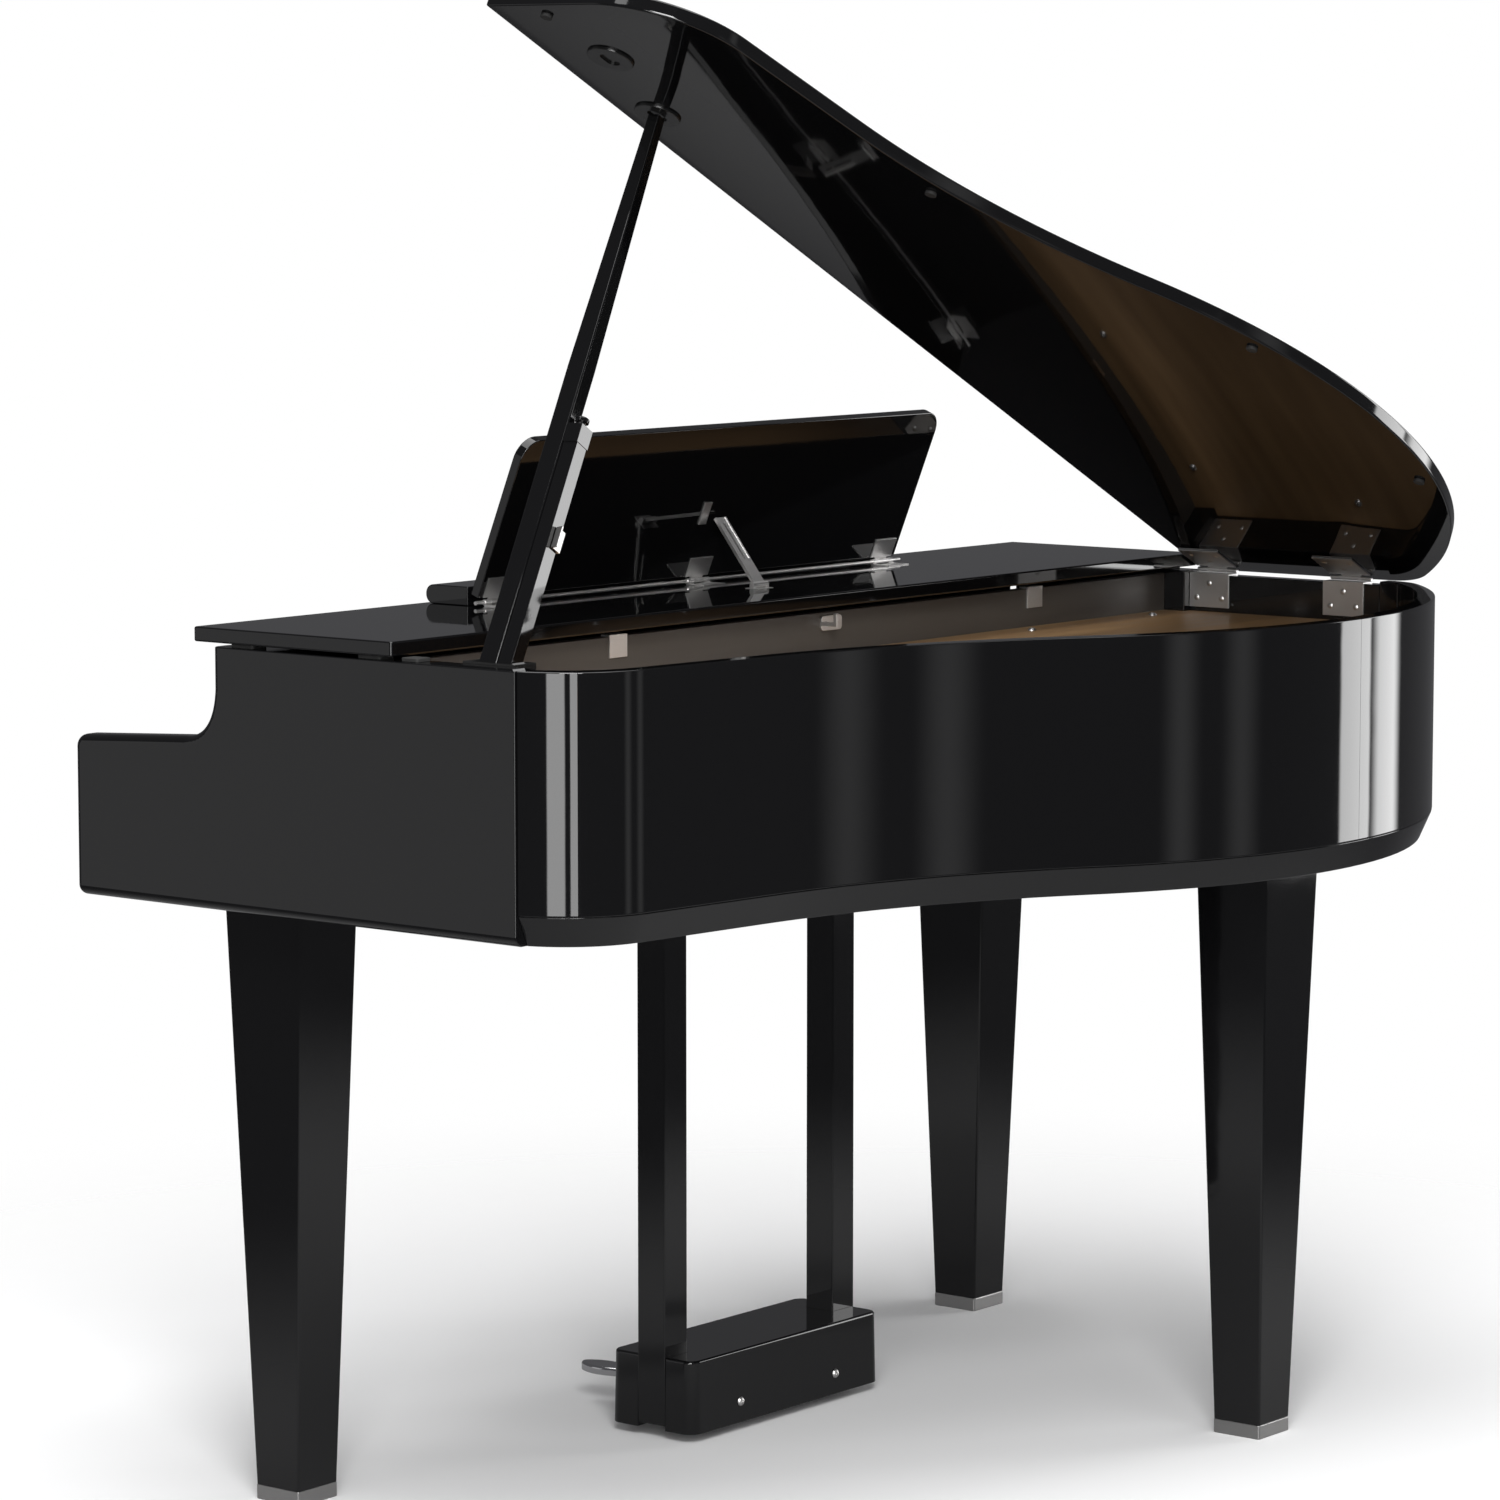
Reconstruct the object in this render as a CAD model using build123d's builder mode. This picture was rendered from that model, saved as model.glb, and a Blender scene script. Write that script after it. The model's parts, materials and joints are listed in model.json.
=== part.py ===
"""Compact digital grand piano with its lid open on the long prop.

Frame: +X is the player's right (treble), +Y points to the tail, +Z is up.
The origin lies on the floor under the middle of the closed case. Millimetres.
"""

import os
from math import atan2, cos, degrees, hypot, radians, sin

from build123d import *

os.makedirs("parts", exist_ok=True)

# ---------------------------------------------------------------- driving dimensions
half_width = 700.0        # cheek to cheek is 1400
arm_front = -462.5        # front of the arms; the tail reaches the same distance behind
case_bottom = 622.5
rim_bottom = 652.5        # the bevelled bottom board shows below this
rim_top = 888.0
spine_top = 884.0         # the spine is a little lower, to pass the hinge flanges
board_bottom = 892.0
board_thickness = 15.0
board_top = board_bottom + board_thickness
cheek_thickness = 32.0
rim_thickness = 20.0
seam = 0.5                # open joint between two lacquered panels
clear = 0.3               # room between pieces of different bodies

# plan of the case behind the keyboard
corner_start_y = 105.0    # where the treble side starts to turn
corner_radius = 110.0
corner_turn = 83.6
waist_straight = 175.0
waist_radius = 798.5
waist_turn = 27.6
tail_radius = 587.0
tail_turn = 80.0
last_turn = 270.0 - (90.0 + corner_turn - waist_turn + tail_turn)

cheek_end_y = 131.5       # rear edge of the flat treble cheek
spine_front_y = -22.0     # the bass cheek ends and the spine starts
wall_rear_y = -49.5       # rear face of the inner front wall
wall_thickness = 12.0
board_front_y = -291.0
board_rear_y = -25.5
scroll_y = -267.0         # front edge of the high part of the cheeks

# keyboard
key_pitch = 23.5
white_count = 52
key_gap = 1.0
keys_front = -431.5
keys_rear = -216.0
key_bottom = 719.0
key_top = 742.0
black_top = 754.0
black_width = 10.0
black_front = keys_front + 51.0
key_pivot = (-230.0, 729.0)
pivot_radius = 3.0
running = 0.05

# lid
lid_inset = -8.0           # the lid overhangs the case
lid_front_y = board_rear_y + 3.0
lid_angle = 26.5
hinge_x = -half_width + 3.0
hinge_z = board_bottom - 3.5
hinge_centres_y = (5.5, 188.0)

# props
prop_pivot = Vector(652.0, 59.5, 878.0)
cup_closed = (475.3, 22.5)
spare_cup_closed = (597.4, 52.6)
cup_thickness = 3.0

# music desk
desk_axis = (-210.3, 911.0)
desk_tilt = 22.2
desk_half_width = 359.0
desk_height = 182.0
strut_foot = (-124.5, 911.0)
strut_tip_run = 80.0

# lyre and legs
post_outer = 167.0
post_width = 38.7
post_front = -159.1
post_depth = 37.4
box_front = -199.5
box_rear = -83.5
box_bottom = 11.0
box_top = 90.5
pedal_pitch = 70.0
pedal_axis = (-104.0, 44.0)
leg_top_small = 89.1
leg_top_large = 101.7
leg_foot = 59.2
cap_height = 15.3
front_leg = (586.7, -267.5)
tail_leg = (-262.4, 346.1)


def finish_part(part, name):
    """Label a finished piece and write it to its own file."""
    part.label = name
    export_step(part, f"parts/{name}.step")


def plan_curve(inset):
    """The case outline behind the flat treble side: corner, waist, tail and bass corner.

    It is a chain of tangent arcs, so moving it inwards only changes their radii.
    Returns the height along Y where it reaches the bass side.
    """
    corner = JernArc((half_width - inset, corner_start_y), (0, 1), corner_radius - inset, corner_turn)
    straight = Line(corner @ 1, (corner @ 1) + (corner % 1) * waist_straight)
    waist = JernArc(straight @ 1, straight % 1, waist_radius + inset, -waist_turn)
    tail = JernArc(waist @ 1, waist % 1, tail_radius - inset, tail_turn)
    room = (tail @ 1).X + half_width - inset
    bass_radius = room / (1 - cos(radians(last_turn)))
    bass = JernArc(tail @ 1, tail % 1, bass_radius, last_turn)
    return bass @ 1


def plan_face(inset, front_y):
    """Sketch of the whole case area behind front_y, moved in by the inset."""
    with BuildSketch() as face:
        with BuildLine():
            end = plan_curve(inset)
            side = half_width - inset
            Polyline(end, (-side, front_y), (side, front_y), (side, corner_start_y))
        make_face()
    return face.sketch


def box_between(x, y, z, mode=Mode.ADD):
    """A box given by its low and high limits along each axis."""
    with Locations(((x[0] + x[1]) / 2, (y[0] + y[1]) / 2, (z[0] + z[1]) / 2)):
        return Box(x[1] - x[0], y[1] - y[0], z[1] - z[0], mode=mode)


# ---------------------------------------------------------------- case
def cheek_profile(rear_y, top_z):
    """Side panel seen from +X: low arm in front, scroll, and the high part."""
    arm_rear_y = scroll_y - 44.0
    arm_front_z = 787.5
    arm_rear_z = 795.5
    with BuildSketch() as profile:
        with BuildLine():
            Polyline((arm_front + 10, case_bottom), (rear_y, case_bottom), (rear_y, top_z),
                     (scroll_y, top_z), (scroll_y, top_z - 42))
            scroll = Bezier((scroll_y, top_z - 42), (scroll_y - 2, top_z - 78),
                            (arm_rear_y + 24, arm_rear_z), (arm_rear_y, arm_rear_z))
            Line(scroll @ 1, (arm_front + 12, arm_front_z))
            ThreePointArc((arm_front + 12, arm_front_z), (arm_front + 3.5, arm_front_z - 4.0),
                          (arm_front, arm_front_z - 13))
            Line((arm_front, arm_front_z - 13), (arm_front, case_bottom + 10))
            ThreePointArc((arm_front, case_bottom + 10), (arm_front + 2.9, case_bottom + 2.9),
                          (arm_front + 10, case_bottom))
        make_face()
    return profile.sketch


with BuildPart() as treble_cheek:
    with BuildSketch(Plane.YZ.offset(half_width - cheek_thickness)):
        add(cheek_profile(cheek_end_y, rim_top))
    extrude(amount=cheek_thickness)
    front_edges = treble_cheek.edges().group_by(Axis.Y)[0].filter_by(Axis.Z)
    fillet(front_edges, 10)
finish_part(treble_cheek.part, "treble_cheek")

with BuildPart() as bass_cheek:
    with BuildSketch(Plane.YZ.offset(-half_width)):
        add(cheek_profile(spine_front_y, rim_top))
    extrude(amount=cheek_thickness)
    front_edges = bass_cheek.edges().group_by(Axis.Y)[0].filter_by(Axis.Z)
    fillet(front_edges, 10)
finish_part(bass_cheek.part, "bass_cheek")

with BuildLine() as outline:
    plan_curve(0)
corner_seam_x = half_width - corner_radius * (1 - cos(radians(45)))
tail_seam_x = -274.0
spine_rear_y = outline.vertices().sort_by(Axis.X)[0].Y
tail_end_y = outline.line.bounding_box().max.Y


def rim_panel(x_range, y_low):
    """Part of the bent rim between two X limits, with its upper edges eased."""
    with BuildPart() as panel:
        with BuildSketch(Plane.XY.offset(rim_bottom)):
            add(plan_face(0, spine_front_y))
            add(plan_face(rim_thickness, spine_front_y - 10), mode=Mode.SUBTRACT)
            with Locations(((x_range[0] + x_range[1]) / 2, y_low + 500)):
                Rectangle(x_range[1] - x_range[0], 1000, mode=Mode.INTERSECT)
        extrude(amount=rim_top - rim_bottom)
        fillet(panel.edges().group_by(Axis.Z)[-1], 1.5)
    return panel.part


corner_rim = rim_panel((corner_seam_x + seam / 2, half_width + 1), cheek_end_y + seam)
finish_part(corner_rim, "corner_rim")

bentside_rim = rim_panel((tail_seam_x + seam / 2, corner_seam_x - seam / 2), cheek_end_y - 10)
finish_part(bentside_rim, "bentside_rim")

tail_rim = rim_panel((-half_width - 1, tail_seam_x - seam / 2), spine_rear_y + seam)
finish_part(tail_rim, "tail_rim")

with BuildPart() as spine_rim:
    box_between((-half_width, -half_width + rim_thickness),
                (spine_front_y + seam, spine_rear_y), (rim_bottom, spine_top))
finish_part(spine_rim.part, "spine_rim")

bevel = 13.0
speaker_places = ((-330.0, 190.0), (330.0, 60.0))
speaker_radius = 58.0
with BuildPart() as bottom_board:
    with BuildSketch(Plane.XY.offset(case_bottom)):
        add(plan_face(bevel, wall_rear_y - wall_thickness))
    with BuildSketch(Plane.XY.offset(rim_bottom)):
        add(plan_face(0, wall_rear_y - wall_thickness))
    loft()
    box_between((half_width - cheek_thickness, half_width + 1), (-100, cheek_end_y),
                (case_bottom - 1, rim_bottom + 1), Mode.SUBTRACT)
    box_between((-half_width - 1, -half_width + cheek_thickness), (-100, spine_front_y),
                (case_bottom - 1, rim_bottom + 1), Mode.SUBTRACT)
    with Locations(*[(x, y, rim_bottom) for x, y in speaker_places]):
        Hole(speaker_radius)
finish_part(bottom_board.part, "bottom_board")

inlet_x = (-640.0, -598.0)
inlet_y = (-118.0, -92.0)
with BuildPart() as keybed:
    box_between((-half_width + cheek_thickness, half_width - cheek_thickness),
                (arm_front + 10, wall_rear_y - wall_thickness), (case_bottom, 647.0))
    box_between(inlet_x, inlet_y, (case_bottom - 1, 648), Mode.SUBTRACT)
finish_part(keybed.part, "keybed")

with BuildPart() as inner_wall:
    box_between((-half_width + cheek_thickness, half_width - cheek_thickness),
                (wall_rear_y - wall_thickness, wall_rear_y), (rim_bottom, spine_top))
finish_part(inner_wall.part, "inner_wall")

panel_top = 841.0
panel_thickness = 6.0
with BuildPart() as sound_panel:
    with BuildSketch(Plane.XY.offset(panel_top - panel_thickness)):
        add(plan_face(rim_thickness + 0.5, wall_rear_y))
        with Locations((half_width, cheek_end_y - 250)):
            Rectangle(2 * cheek_thickness + 1, 502, mode=Mode.SUBTRACT)
        with Locations((-half_width, spine_front_y - 50)):
            Rectangle(2 * cheek_thickness + 1, 101, mode=Mode.SUBTRACT)
    extrude(amount=panel_thickness)
finish_part(sound_panel.part, "sound_panel")

panel_screws = [(-600, -20), (-360, -20), (-110, -20), (140, -20), (390, -20), (620, 0),
                (-640, 200), (-560, 340), (-300, 420), (-110, 395), (90, 305), (330, 212), (545, 172)]
box_screws = [(-84.0, 34.0), (84.0, 34.0)]


def dome_screw(radius, height):
    """Head of a round-headed screw: a low dome with a cross recess."""
    with BuildPart() as screw:
        with BuildSketch(Plane.XZ):
            with BuildLine():
                Polyline((0, height), (0, 0), (radius, 0))
                ThreePointArc((radius, 0), (radius * 0.72, height * 0.72), (0, height))
            make_face()
        revolve(axis=Axis.Z)
        with Locations((0, 0, height)):
            Box(radius * 1.1, radius * 0.22, height * 0.9, mode=Mode.SUBTRACT)
            Box(radius * 0.22, radius * 1.1, height * 0.9, mode=Mode.SUBTRACT)
    return screw.part


screw = dome_screw(5.0, 3.0)
with BuildPart() as case_screws:
    with Locations(*[(x, y, panel_top) for x, y in panel_screws]):
        add(screw)
    with Locations(*[Location((x, box_rear, z), (-90, 0, 0)) for x, z in box_screws]):
        add(screw)
finish_part(case_screws.part, "case_screws")

# ---------------------------------------------------------------- front board and its fittings
board_centre_y = (board_front_y + board_rear_y) / 2
with BuildPart() as front_board:
    with BuildSketch(Plane.XY.offset(board_bottom)):
        with Locations((0, board_centre_y)):
            RectangleRounded(2 * half_width, board_rear_y - board_front_y, 3)
    extrude(amount=board_thickness)
    fillet(front_board.edges().group_by(Axis.Z)[0] + front_board.edges().group_by(Axis.Z)[-1], 2)
finish_part(front_board.part, "front_board")

spacer_height = board_bottom - rim_top
with BuildPart() as board_spacers:
    with BuildSketch(Plane.XY.offset(rim_top)):
        with Locations((684, -60), (684, -230), (-684, -60), (-684, -230)):
            RectangleRounded(22, 30, 3)
    extrude(amount=spacer_height)
    with BuildSketch(Plane.XY.offset(rim_top)):
        with Locations((684, -8)):
            RectangleRounded(20, 22, 3)
    extrude(amount=spacer_height - clear)
finish_part(board_spacers.part, "board_spacers")

hook_x = -28.0
with BuildPart() as wall_brackets:
    # angle plate that holds the board to the wall, and the small hook beside it
    for x in (-405.0, 330.0):
        box_between((x - 14, x + 14), (wall_rear_y, wall_rear_y + 2), (862, spine_top))
        box_between((x - 14, x + 14), (wall_rear_y - 10, wall_rear_y + 2), (spine_top, spine_top + 2))
    with BuildSketch(Plane.XZ.offset(-wall_rear_y)):
        with Locations((hook_x, 872)):
            RectangleRounded(36, 16, 4)
        with Locations((hook_x - 10, 872), (hook_x + 10, 872)):
            Circle(2.2, mode=Mode.SUBTRACT)
    extrude(amount=-2)
    box_between((hook_x + 14, hook_x + 18), (wall_rear_y, wall_rear_y + 22), (870, 874))
    box_between((hook_x + 14, hook_x + 18), (wall_rear_y + 18, wall_rear_y + 22), (870, 884))
finish_part(wall_brackets.part, "wall_brackets")

# ---------------------------------------------------------------- keyboard
slip_rear_y = keys_front - 3.0
inside_x = half_width - cheek_thickness
with BuildPart() as key_slip:
    box_between((-inside_x, inside_x), (arm_front + 10, slip_rear_y), (647, 729))
    fillet(key_slip.edges().group_by(Axis.Z)[-1].filter_by(Axis.X), 5)
finish_part(key_slip.part, "key_slip")

block_inner_x = white_count * key_pitch / 2 + 1.0
cover_bottom = 768.0
with BuildPart() as key_blocks:
    for low, high in ((-inside_x, -block_inner_x), (block_inner_x, inside_x)):
        box_between((low, high), (slip_rear_y, -118), (647, cover_bottom - 0.5))
    fillet(key_blocks.edges().group_by(Axis.Z)[-1].group_by(Axis.Y)[0], 4)
finish_part(key_blocks.part, "key_blocks")

with BuildPart() as key_rail:
    # the rod all keys swing on runs from one key block to the other
    box_between((-block_inner_x, block_inner_x), (-238, -206), (647, 700))
    with BuildSketch(Plane.YZ.offset(-block_inner_x)):
        with Locations(key_pivot):
            Circle(pivot_radius)
    extrude(amount=2 * block_inner_x)
finish_part(key_rail.part, "key_rail")

# white notes of an octave counted from C, and the black notes beside them
white_steps = {"c": 0, "d": 1, "e": 2, "f": 3, "g": 4, "a": 5, "b": 6}
black_steps = {"c_sharp": (1, -2.5), "d_sharp": (2, 2.5), "f_sharp": (4, -3.5),
               "g_sharp": (5, 0.0), "a_sharp": (6, 3.5)}
notes_before_c = 2        # the keyboard starts with A and B
first_x = -white_count * key_pitch / 2


def white_places(step):
    """Left edge of every white key with this step in the octave."""
    places = [notes_before_c + step + 7 * octave for octave in range(-1, 8)]
    return [first_x + index * key_pitch for index in places if 0 <= index < white_count]


def black_places(step, shift):
    """Centre of every black key that sits at this white boundary."""
    places = [notes_before_c + step + 7 * octave for octave in range(-1, 8)]
    return [first_x + index * key_pitch + shift for index in places if 1 <= index < white_count - 1]


black_centres = [x for step, shift in black_steps.values() for x in black_places(step, shift)]


def white_key(left):
    """Plan of one white key: full width in front, notched for its black neighbours."""
    low, high = left + key_gap / 2, left + key_pitch - key_gap / 2
    notch = black_width / 2 + key_gap
    lows = [x + notch for x in black_centres if abs(x - left) < key_pitch / 2]
    highs = [x - notch for x in black_centres if abs(x - left - key_pitch) < key_pitch / 2]
    tail_low, tail_high = (lows + [low])[0], (highs + [high])[0]
    head_rear = black_front - key_gap
    with BuildSketch() as plan:
        with Locations(((low + high) / 2, (keys_front + head_rear) / 2)):
            Rectangle(high - low, head_rear - keys_front)
        with Locations(((tail_low + tail_high) / 2, (keys_front + keys_rear) / 2)):
            Rectangle(tail_high - tail_low, keys_rear - keys_front)
    return plan.sketch


for name, step in white_steps.items():
    with BuildPart() as keys:
        with BuildSketch(Plane.XY.offset(key_bottom)):
            for left in white_places(step):
                add(white_key(left))
        extrude(amount=key_top - key_bottom)
        front_tops = keys.edges().group_by(Axis.Z)[-1].group_by(Axis.Y)[0]
        fillet(front_tops, 1.5)
        with BuildSketch(Plane.YZ.offset(first_x)):
            with Locations(key_pivot):
                Circle(pivot_radius + running)
        extrude(amount=white_count * key_pitch, mode=Mode.SUBTRACT)
    finish_part(keys.part, f"{name}_keys")

for name, (step, shift) in black_steps.items():
    with BuildPart() as keys:
        for x in black_places(step, shift):
            low, high = x - black_width / 2, x + black_width / 2
            box_between((low, high), (black_front, keys_rear), (key_bottom, key_top))
            with BuildSketch(Plane.YZ.offset(low)):
                with BuildLine():
                    Polyline((black_front, key_top), (keys_rear, key_top), (keys_rear, black_top),
                             (black_front + 7, black_top), (black_front, key_top))
                make_face()
            extrude(amount=black_width)
        fillet(keys.edges().filter_by(Axis.Y).group_by(Axis.Z)[-1], 1.8)
        with BuildSketch(Plane.YZ.offset(first_x)):
            with Locations(key_pivot):
                Circle(pivot_radius + running)
        extrude(amount=white_count * key_pitch, mode=Mode.SUBTRACT)
    finish_part(keys.part, f"{name}_keys")

fascia_front_y = -282.0
cover_thickness = 12.0
with BuildPart() as fascia:
    box_between((-inside_x, inside_x), (fascia_front_y, fascia_front_y + 12),
                (cover_bottom + cover_thickness + 4, spine_top))
finish_part(fascia.part, "fascia")

with BuildPart() as key_cover:
    box_between((-inside_x + 1.5, inside_x - 1.5), (fascia_front_y, fascia_front_y + 152),
                (cover_bottom, cover_bottom + cover_thickness))
    fillet(key_cover.edges().group_by(Axis.Y)[0].filter_by(Axis.X), 5)
finish_part(key_cover.part, "key_cover")

control_z = 838.0
with BuildPart() as display_panel:
    with BuildSketch(Plane.XZ.offset(-fascia_front_y)):
        with Locations((-520, control_z)):
            RectangleRounded(150, 46, 6)
    extrude(amount=1.5)
finish_part(display_panel.part, "display_panel")

knob_x = 560.0
knob_radius = 13.0
with BuildPart() as volume_knob:
    with BuildSketch(Plane.XZ.offset(-fascia_front_y + clear)):
        with Locations((knob_x, control_z)):
            Circle(knob_radius)
    extrude(amount=13)
    fillet(volume_knob.edges().group_by(Axis.Y)[0], 1.5)
    with BuildSketch(Plane.XZ.offset(-fascia_front_y + 12)):
        with Locations((knob_x, control_z + knob_radius - 5)):
            SlotOverall(7, 1.6, rotation=90)
    extrude(amount=2, mode=Mode.SUBTRACT)
finish_part(volume_knob.part, "volume_knob")

button_x = 610.0
with BuildPart() as power_button:
    with BuildSketch(Plane.XZ.offset(-fascia_front_y + 2.0)):
        with Locations((button_x, control_z)):
            Circle(8)
    extrude(amount=5)
    fillet(power_button.edges().group_by(Axis.Y)[0], 1.2)
finish_part(power_button.part, "power_button")

# ---------------------------------------------------------------- lid, built open
def opened(part):
    """Turn a piece that was drawn with the lid closed about the hinge pins to the open lid."""
    return part.rotate(Axis((hinge_x, 0, hinge_z), (0, -1, 0)), lid_angle)


with BuildPart() as main_lid:
    with BuildSketch(Plane.XY.offset(board_bottom)):
        add(plan_face(lid_inset, lid_front_y))
    extrude(amount=board_thickness)
    fillet(main_lid.edges().group_by(Axis.Z)[0] + main_lid.edges().group_by(Axis.Z)[-1], 2)
finish_part(opened(main_lid.part), "main_lid")

leaf_width = 54.0
leaf_thickness = 1.5
barrel_radius = 2.7
pin_radius = 1.3
knuckle = 14.0
inner_face_x = -half_width + rim_thickness


def barrel(y_centre, length, radius, mode=Mode.ADD):
    """Round bar along the hinge line."""
    with BuildSketch(Plane.XZ.offset(-y_centre - length / 2)) as disc:
        with Locations((hinge_x, hinge_z)):
            Circle(radius)
    extrude(disc.sketch, amount=length, mode=mode)


with BuildPart() as spine_leaves:
    for y in hinge_centres_y:
        half = leaf_width / 2
        box_between((inner_face_x, inner_face_x + leaf_thickness), (y - half, y + half),
                    (spine_top - 38, spine_top))
        box_between((hinge_x - 1, inner_face_x + leaf_thickness), (y - half, y + half),
                    (spine_top, spine_top + leaf_thickness))
        for side in (-1, 1):
            barrel(y + side * (half - knuckle / 2), knuckle, barrel_radius)
        barrel(y, leaf_width, pin_radius)
finish_part(spine_leaves.part, "spine_leaves")

with BuildPart() as lid_leaves:
    for y in hinge_centres_y:
        half = leaf_width / 2 - knuckle - clear
        barrel(y, 2 * half, barrel_radius)
        box_between((hinge_x, hinge_x + 8), (y - half, y + half), (board_bottom - leaf_thickness, board_bottom))
        box_between((hinge_x + 5, hinge_x + 50), (y - leaf_width / 2, y + leaf_width / 2),
                    (board_bottom - leaf_thickness, board_bottom))
        barrel(y, 2 * half + 1, pin_radius + running, Mode.SUBTRACT)
finish_part(opened(lid_leaves.part), "lid_leaves")

with BuildPart() as prop_cups:
    for x, y in (cup_closed, spare_cup_closed):
        with BuildSketch(Plane.XY.offset(board_bottom - cup_thickness)):
            with Locations((x, y)):
                Circle(24)
        extrude(amount=cup_thickness)
        with BuildSketch(Plane.XY.offset(board_bottom - cup_thickness)):
            with Locations((x, y)):
                SlotOverall(24, 15)
        extrude(amount=cup_thickness - 0.8, mode=Mode.SUBTRACT)
    fillet(prop_cups.edges().group_by(Axis.Z)[0].filter_by(GeomType.CIRCLE).sort_by(SortBy.RADIUS)[-2:], 1)
finish_part(opened(prop_cups.part), "prop_cups")

bumper_height = board_bottom - rim_top - clear
with BuildPart() as lid_bumpers:
    with Locations((688, 40, board_bottom - bumper_height / 2), (300, 247, board_bottom - bumper_height / 2),
                   (-60, 420, board_bottom - bumper_height / 2), (-400, 437, board_bottom - bumper_height / 2)):
        Cylinder(6, bumper_height)
finish_part(opened(lid_bumpers.part), "lid_bumpers")

# ---------------------------------------------------------------- props
cup_x, cup_z = cup_closed[0] - hinge_x, board_bottom - cup_thickness - hinge_z
tilt = radians(lid_angle)
prop_tip = Vector(hinge_x + cup_x * cos(tilt) - cup_z * sin(tilt), cup_closed[1],
                  hinge_z + cup_x * sin(tilt) + cup_z * cos(tilt))
prop_run = prop_tip - prop_pivot
prop_dir = prop_run.normalized()
prop_across = Vector(0, 0, 1).cross(prop_dir).normalized()   # the fold axis
prop_length = prop_run.length - 1.5
prop_plane = Plane(origin=prop_pivot, x_dir=prop_dir, z_dir=prop_across)
print("depth ends at", tail_end_y, "prop fold axis", prop_across)
long_width = 20.0
long_depth = 21.0
tip_width = 13.0
taper_from = 330.0
short_length = 262.0
short_width = 18.0
short_depth = 16.0
short_shift = -(long_depth + short_depth) / 2 - 0.6
axle_radius = 3.0


def bar_outline(width, length, end_width, straight):
    """Side view of a bar that starts in a rounded eye and narrows to its far end."""
    with BuildSketch() as view:
        with BuildLine():
            ThreePointArc((0, width / 2), (-width / 2, 0), (0, -width / 2))
            Polyline((0, -width / 2), (straight, -width / 2), (length, -end_width / 2),
                     (length, end_width / 2), (straight, width / 2), (0, width / 2))
        make_face()
        Circle(axle_radius + running, mode=Mode.SUBTRACT)
    return view.sketch


with BuildPart() as long_prop:
    with BuildSketch(prop_plane.offset(-long_depth / 2)):
        add(bar_outline(long_width, taper_from, long_width, taper_from / 2))
    extrude(amount=long_depth)
    fillet([edge for edge in long_prop.edges() if edge.length > taper_from / 3], 1.6)
    # the upper part narrows both ways towards the tip
    section = Plane(origin=prop_pivot, x_dir=prop_across, z_dir=prop_dir)
    with BuildSketch(section.offset(taper_from)):
        RectangleRounded(long_depth, long_width, 1.6)
    with BuildSketch(section.offset(prop_length)):
        RectangleRounded(tip_width, tip_width, 1.6)
    loft()
finish_part(long_prop.part, "long_prop")

with BuildPart() as short_prop:
    with BuildSketch(prop_plane.offset(short_shift - short_depth / 2)):
        add(bar_outline(short_width, short_length, short_width, short_length / 2))
    extrude(amount=short_depth)
    cap_plane = Plane(origin=prop_pivot + prop_dir * short_length + prop_across * short_shift,
                      x_dir=prop_across, z_dir=prop_dir)
    with BuildSketch(cap_plane.offset(-16)):
        Rectangle(short_depth + 1, short_width + 3)
    extrude(amount=20)
    with BuildSketch(cap_plane.offset(4)):
        Circle(4.5)
    extrude(amount=5)
    with BuildSketch(cap_plane.offset(9)):
        Circle(7)
    extrude(amount=5)
    fillet(short_prop.edges().sort_by(Axis(prop_pivot, prop_dir))[-1:], 2)
finish_part(short_prop.part, "short_prop")

clip_at = 146.0
clip_thickness = 2.0
with BuildPart() as prop_clip:
    clip_plane = Plane(origin=prop_pivot + prop_dir * clip_at, x_dir=prop_across, z_dir=prop_dir)
    far_side = short_shift - short_depth / 2 - 0.6
    with BuildSketch(clip_plane.offset(-11)):
        with BuildLine():
            Polyline((long_depth / 2, -long_width / 2), (long_depth / 2, -long_width / 2 - clip_thickness),
                     (far_side - clip_thickness, -long_width / 2 - clip_thickness),
                     (far_side - clip_thickness, 1), (far_side - 9, 4), (far_side - 9, 6),
                     (far_side, 2.5), (far_side, -long_width / 2), close=True)
        make_face()
    extrude(amount=22)
finish_part(prop_clip.part, "prop_clip")

base_inner_x = 636.0
base_y = (38.0, 104.0)
slot_y = (44.5, 91.5)
with BuildPart() as prop_base:
    box_between((base_inner_x, inside_x), base_y, (862, 890))
    box_between((base_inner_x - 1, inside_x - 3.5), slot_y, (861, 891), Mode.SUBTRACT)
    with BuildSketch(Plane(origin=prop_pivot - prop_across * 40, z_dir=prop_across)):
        Circle(axle_radius)
    extrude(amount=58)
finish_part(prop_base.part, "prop_base")

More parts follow.
